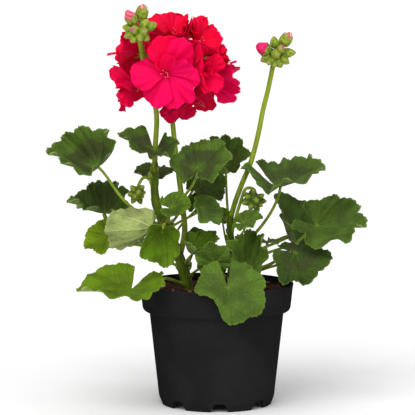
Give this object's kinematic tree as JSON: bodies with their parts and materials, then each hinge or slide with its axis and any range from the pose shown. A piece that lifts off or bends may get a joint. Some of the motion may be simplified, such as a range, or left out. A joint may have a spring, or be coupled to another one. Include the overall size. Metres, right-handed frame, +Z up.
{
  "type": "potted geranium",
  "caption": "Zonal geranium in a round black nursery pot, with scalloped leaves, a full head of red and pink florets, and stalks of green buds.",
  "frame": {"origin": "on the pot's axis, on the surface that the pot stands on", "axes": "+Z up along the pot's axis, -Y towards the viewer of the picture, +X to the viewer's right"},
  "size_m": [0.2689, 0.1949, 0.3385],
  "materials": {
    "pot": "satin black moulded plastic",
    "soil": "rough crumbs of bark and peat",
    "stem": "soft green skin with fine hairs",
    "leaf": "soft matt leaf with a darker band",
    "leaf_young": "soft matt young leaf",
    "petal": "velvety petal",
    "opening_bud": "folded petals",
    "bud": "green sepals with fine hairs"
  },
  "bodies": {
    "root": {"pot": "pot", "soil": "soil", "stem_left": "stem", "stem_right": "stem", "leaf_upper_left": "leaf", "leaf_upper_middle": "leaf", "leaf_centre_top": "leaf", "leaf_back_upper": "leaf", "leaf_right_upper": "leaf", "leaf_right_fan": "leaf", "leaf_right_big": "leaf", "leaf_right_low": "leaf", "leaf_front_low": "leaf", "leaf_front_middle": "leaf", "leaf_centre_funnel": "leaf", "leaf_right_inner": "leaf", "leaf_centre_cup": "leaf_young", "leaf_centre_round": "leaf_young", "leaf_left_pale": "leaf_young", "leaf_left_bright": "leaf_young", "leaf_left_dark": "leaf", "leaf_low_left": "leaf_young", "leaf_stem_top": "leaf", "leaf_centre_dark": "leaf", "leaf_centre_fold": "leaf", "leaf_centre_bud": "leaf", "leaf_centre_small": "leaf", "leaf_right_small": "leaf", "leaf_back_left_high": "leaf", "leaf_back_centre_high": "leaf", "leaf_back_right_high": "leaf", "leaf_back_centre_low": "leaf", "leaf_back_left_low": "leaf", "leaf_behind_bright": "leaf_young", "flower_head_stalk": "stem", "floret_front": "petal", "floret_front_right": "petal", "floret_top": "petal", "floret_top_right": "petal", "floret_right_high": "petal", "floret_right": "petal", "floret_bottom": "petal", "floret_left": "petal", "floret_left_high": "petal", "floret_back_left": "petal", "floret_back_right": "petal", "floret_back_top": "petal", "bud_head_left": "bud", "left_bud_a": "opening_bud", "left_bud_b": "opening_bud", "bud_head_right": "bud", "right_bud_a": "opening_bud", "right_bud_b": "opening_bud", "young_head_left": "bud", "young_head_right": "bud"}
  },
  "joints": []
}
